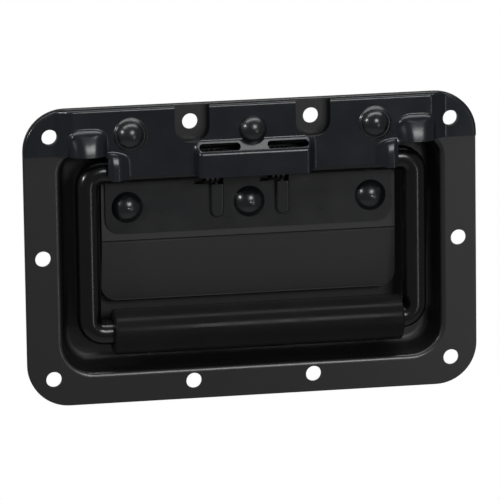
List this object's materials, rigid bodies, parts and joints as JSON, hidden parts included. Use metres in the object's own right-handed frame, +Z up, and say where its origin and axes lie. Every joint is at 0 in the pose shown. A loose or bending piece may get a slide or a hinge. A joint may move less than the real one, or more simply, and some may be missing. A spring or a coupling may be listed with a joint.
{
  "type": "recessed pull handle",
  "caption": "Black recessed handle: a pressed dish with a screw flange, a hinge cover held by rivets, and a sprung bail with a rubber grip sleeve that swings forward.",
  "frame": {"origin": "centre of the four corner holes, in the plane of the flange's back face", "axes": "+X to the viewer's right along the flange, +Y into the panel it is fixed to, +Z up toward the hinge cover; the front faces -Y"},
  "size_m": [0.1524, 0.0221, 0.1],
  "materials": {
    "dish": "glossy black powder coat on pressed steel",
    "hinge_cover": "glossy black powder coat on pressed steel",
    "lower_plate": "glossy black powder coat on pressed steel",
    "rivets": "black coated domed heads",
    "springs": "dark oiled spring wire",
    "bail": "glossy black powder coat on round bar",
    "grip_sleeve": "smooth soft black sleeve"
  },
  "bodies": {
    "housing": {"dish": "dish", "hinge_cover": "hinge_cover", "lower_plate": "lower_plate", "upper_rivet_left": "rivets", "upper_rivet_middle": "rivets", "upper_rivet_right": "rivets", "lower_rivet_left": "rivets", "lower_rivet_middle": "rivets", "lower_rivet_right": "rivets", "torsion_spring_left": "springs", "torsion_spring_right": "springs"},
    "bail": {"bail": "bail", "grip_sleeve": "grip_sleeve"}
  },
  "joints": [
    {"name": "bail_hinge", "type": "hinge", "parent": "housing", "child": "bail", "pos_m": [0, -0.0006, 0.0282], "axis": [-1, 0, 0], "range_deg": [0, 90], "stiffness_Nm_per_rad": 0.12, "springref_deg": -34.38}
  ]
}
